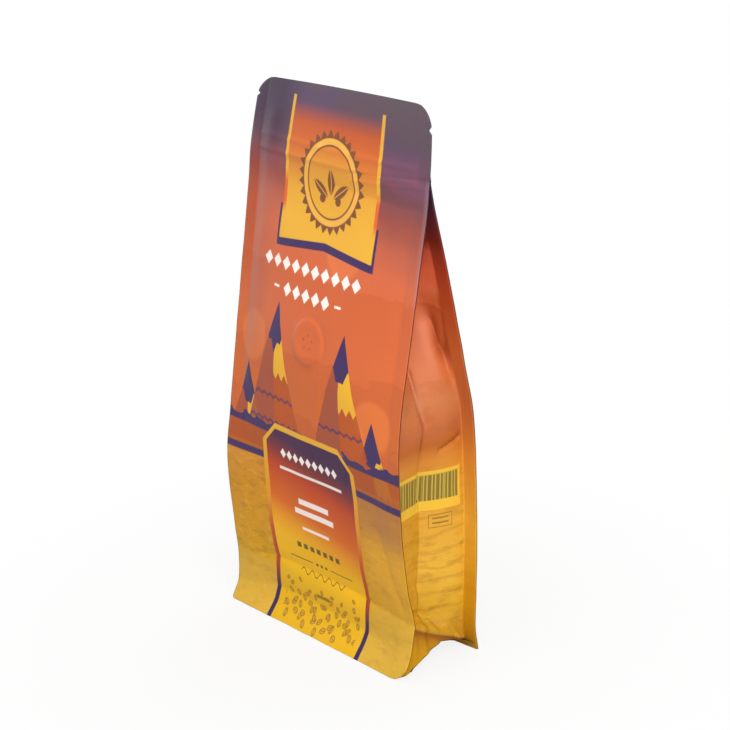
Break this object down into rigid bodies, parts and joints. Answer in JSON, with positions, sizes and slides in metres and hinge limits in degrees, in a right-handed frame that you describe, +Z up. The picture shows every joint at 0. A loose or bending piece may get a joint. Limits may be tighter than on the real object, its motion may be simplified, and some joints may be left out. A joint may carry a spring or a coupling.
{
  "type": "side-gusset coffee pouch",
  "caption": "Filled and closed stand-up coffee pouch of matte printed film, with side gussets, pinched side seals, a pressed flat top with zipper ribs and tear notches, and a round valve.",
  "frame": {"origin": "on the ground under the middle of the pouch", "axes": "+Z up along the height, +X along the front panel towards its right, and the front panel faces -Y"},
  "size_m": [0.12, 0.0462, 0.2459],
  "materials": {
    "printed_film": "matte printed laminate film in a sunset gradient from dusky purple at the top through orange to mottled gold at the base, with a soft sheen on the folds",
    "valve_plastic": "smooth off-white moulded plastic"
  },
  "bodies": {
    "root": {"pouch": "printed_film", "valve": "valve_plastic"}
  },
  "joints": []
}
